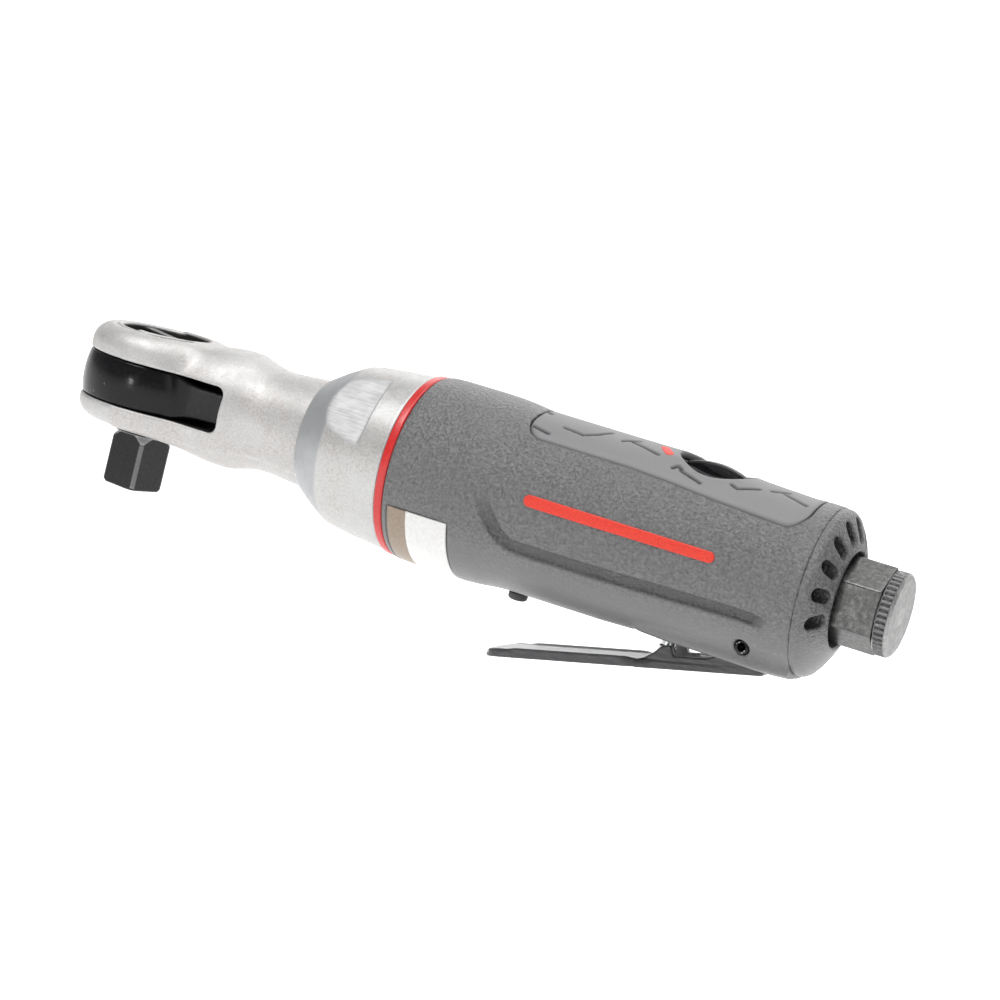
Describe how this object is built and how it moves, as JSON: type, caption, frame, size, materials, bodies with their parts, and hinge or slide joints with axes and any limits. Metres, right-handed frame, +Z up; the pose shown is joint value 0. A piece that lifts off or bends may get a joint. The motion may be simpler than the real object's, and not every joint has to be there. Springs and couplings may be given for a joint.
{
  "type": "air ratchet",
  "caption": "Compact air ratchet wrench with a round ratchet head, square drive, coupling nut, textured grip, throttle lever and hexagonal air inlet.",
  "frame": {"origin": "on the drive spindle axis at the socket seat, where the square drive begins", "axes": "+X runs back along the tool towards the air inlet, +Z points up from the socket side to the reversing knob, +Y completes a right-handed frame; the pictured near side is -Y"},
  "size_m": [0.1899, 0.0402, 0.0533],
  "materials": {
    "satin_cast": "bead-blasted satin",
    "satin_steel": "bead-blasted with milled flats",
    "accent_red": "gloss",
    "composite_grey": "fine texture",
    "grip_grey": "smooth matte",
    "label_film": "satin film",
    "felt": "felt",
    "machined_aluminium": "machined",
    "dark_steel": "dark phosphate",
    "screen_mesh": "mesh",
    "gear_steel": "ground and oiled",
    "bronze": "turned bronze",
    "bright_steel": "ground",
    "black_oxide": "glossy black oxide",
    "black_rubber": "matte",
    "vane_resin": "fibre resin",
    "lever_steel": "dark satin",
    "black_plastic": "gloss",
    "seat_resin": "matte",
    "cap_steel": "dull plated"
  },
  "bodies": {
    "housing": {"ratchet_head": "satin_cast", "coupling_nut": "satin_steel", "accent_ring": "accent_red", "motor_housing": "composite_grey", "grip_panel": "grip_grey", "side_accents": "accent_red", "label_plate": "label_film", "exhaust_cap": "composite_grey", "muffler_felt": "felt", "throttle_body": "machined_aluminium", "inlet_bushing": "dark_steel", "inlet_screen": "screen_mesh", "ring_gear": "gear_steel", "crank_bearing": "bronze", "front_end_plate": "machined_aluminium", "rear_end_plate": "machined_aluminium", "motor_cylinder": "machined_aluminium", "cylinder_dowel": "bright_steel", "front_bearing_outer": "bright_steel", "rear_bearing_outer": "bright_steel", "lever_pin": "black_oxide", "lever_bumper": "black_rubber", "valve_seat": "seat_resin", "valve_spring": "bright_steel", "spindle_retaining_ring": "black_oxide"},
    "rotor_group": {"rotor": "gear_steel", "rotor_vanes": "vane_resin", "front_bearing_inner": "bright_steel", "rear_bearing_inner": "bright_steel"},
    "front_ball_set": {"front_bearing_balls": "bright_steel"},
    "rear_ball_set": {"rear_bearing_balls": "bright_steel"},
    "crank": {"crankshaft": "gear_steel", "planet_pins": "bright_steel"},
    "planet_1": {"planet_gear_1": "gear_steel"},
    "planet_2": {"planet_gear_2": "gear_steel"},
    "planet_3": {"planet_gear_3": "gear_steel"},
    "bush": {"crank_bush": "bronze"},
    "yoke": {"ratchet_yoke": "black_oxide"},
    "spindle": {"drive_spindle": "black_oxide", "pawl_pin": "bright_steel"},
    "ball": {"detent_ball": "bright_steel"},
    "knob": {"reversing_knob": "black_oxide", "knob_plunger": "bright_steel"},
    "pawl": {"ratchet_pawl": "gear_steel"},
    "lever": {"throttle_lever": "lever_steel"},
    "valve": {"valve_stem": "black_oxide", "valve_poppet": "seat_resin"},
    "regulator": {"regulator_knob": "black_plastic", "regulator_seal": "black_rubber"},
    "cap": {"dust_cap": "cap_steel"}
  },
  "joints": [
    {"name": "rotor_spin", "type": "hinge", "parent": "housing", "child": "rotor_group", "pos_m": [0.083, 0, 0.0129], "axis": [1, 0, 0], "continuous": true},
    {"name": "front_balls_spin", "type": "hinge", "parent": "housing", "child": "front_ball_set", "pos_m": [0.06385, 0, 0.0129], "axis": [1, 0, 0], "continuous": true},
    {"name": "rear_balls_spin", "type": "hinge", "parent": "housing", "child": "rear_ball_set", "pos_m": [0.1031, 0, 0.0129], "axis": [1, 0, 0], "continuous": true},
    {"name": "crank_spin", "type": "hinge", "parent": "housing", "child": "crank", "pos_m": [0.04, 0, 0.0129], "axis": [1, 0, 0], "continuous": true},
    {"name": "planet_1_spin", "type": "hinge", "parent": "crank", "child": "planet_1", "pos_m": [0.056, 0, 0.0204], "axis": [1, 0, 0], "continuous": true},
    {"name": "planet_2_spin", "type": "hinge", "parent": "crank", "child": "planet_2", "pos_m": [0.056, -0.00649, 0.00915], "axis": [1, 0, 0], "continuous": true},
    {"name": "planet_3_spin", "type": "hinge", "parent": "crank", "child": "planet_3", "pos_m": [0.056, 0.00649, 0.00915], "axis": [1, 0, 0], "continuous": true},
    {"name": "bush_spin", "type": "hinge", "parent": "crank", "child": "bush", "pos_m": [0.019, 0, 0.0144], "axis": [1, 0, 0], "continuous": true},
    {"name": "yoke_swing", "type": "hinge", "parent": "housing", "child": "yoke", "pos_m": [0, 0, 0.0129], "axis": [0, 0, 1], "range_deg": [-4.8, 4.8]},
    {"name": "spindle_turn", "type": "hinge", "parent": "housing", "child": "spindle", "pos_m": [0, 0, 0.0129], "axis": [0, 0, 1], "continuous": true},
    {"name": "detent_press", "type": "slide", "parent": "spindle", "child": "ball", "axis": [-0.2377, -0.9713, 0], "range_m": [0, 0.0009], "stiffness_N_per_m": 400, "springref_m": -0.0006},
    {"name": "reverse_knob", "type": "hinge", "parent": "spindle", "child": "knob", "pos_m": [0, 0, 0.0219], "axis": [0, 0, 1], "range_deg": [0, 60]},
    {"name": "pawl_tilt", "type": "hinge", "parent": "spindle", "child": "pawl", "pos_m": [0, -0.0058, 0.0129], "axis": [0, 0, 1], "range_deg": [-12, 0]},
    {"name": "lever_squeeze", "type": "hinge", "parent": "housing", "child": "lever", "pos_m": [0.1471, 0, -0.0009], "axis": [0, 1, 0], "range_deg": [0, 10.5], "stiffness_Nm_per_rad": 0.3, "springref_deg": -14.32},
    {"name": "valve_lift", "type": "slide", "parent": "housing", "child": "valve", "axis": [0, 0, 1], "range_m": [0, 0.0036], "deforming": ["valve_spring"]},
    {"name": "regulator_turn", "type": "hinge", "parent": "housing", "child": "regulator", "pos_m": [0.1295, 0, 0.0249], "axis": [0, 0, 1], "range_deg": [-90, 90]},
    {"name": "dust_cap_pull", "type": "slide", "parent": "housing", "child": "cap", "axis": [1, 0, 0], "range_m": [0, 0.06]}
  ],
  "couplings": [
    {"joint": "front_balls_spin", "follows": "rotor_spin", "ratio": 0.4},
    {"joint": "rear_balls_spin", "follows": "rotor_spin", "ratio": 0.4},
    {"joint": "crank_spin", "follows": "rotor_spin", "ratio": 0.2},
    {"joint": "planet_1_spin", "follows": "rotor_spin", "ratio": -0.53333},
    {"joint": "planet_2_spin", "follows": "rotor_spin", "ratio": -0.53333},
    {"joint": "planet_3_spin", "follows": "rotor_spin", "ratio": -0.53333},
    {"joint": "pawl_tilt", "follows": "reverse_knob", "ratio": -0.2},
    {"joint": "valve_lift", "follows": "lever_squeeze", "m_per_rad": 0.019}
  ]
}
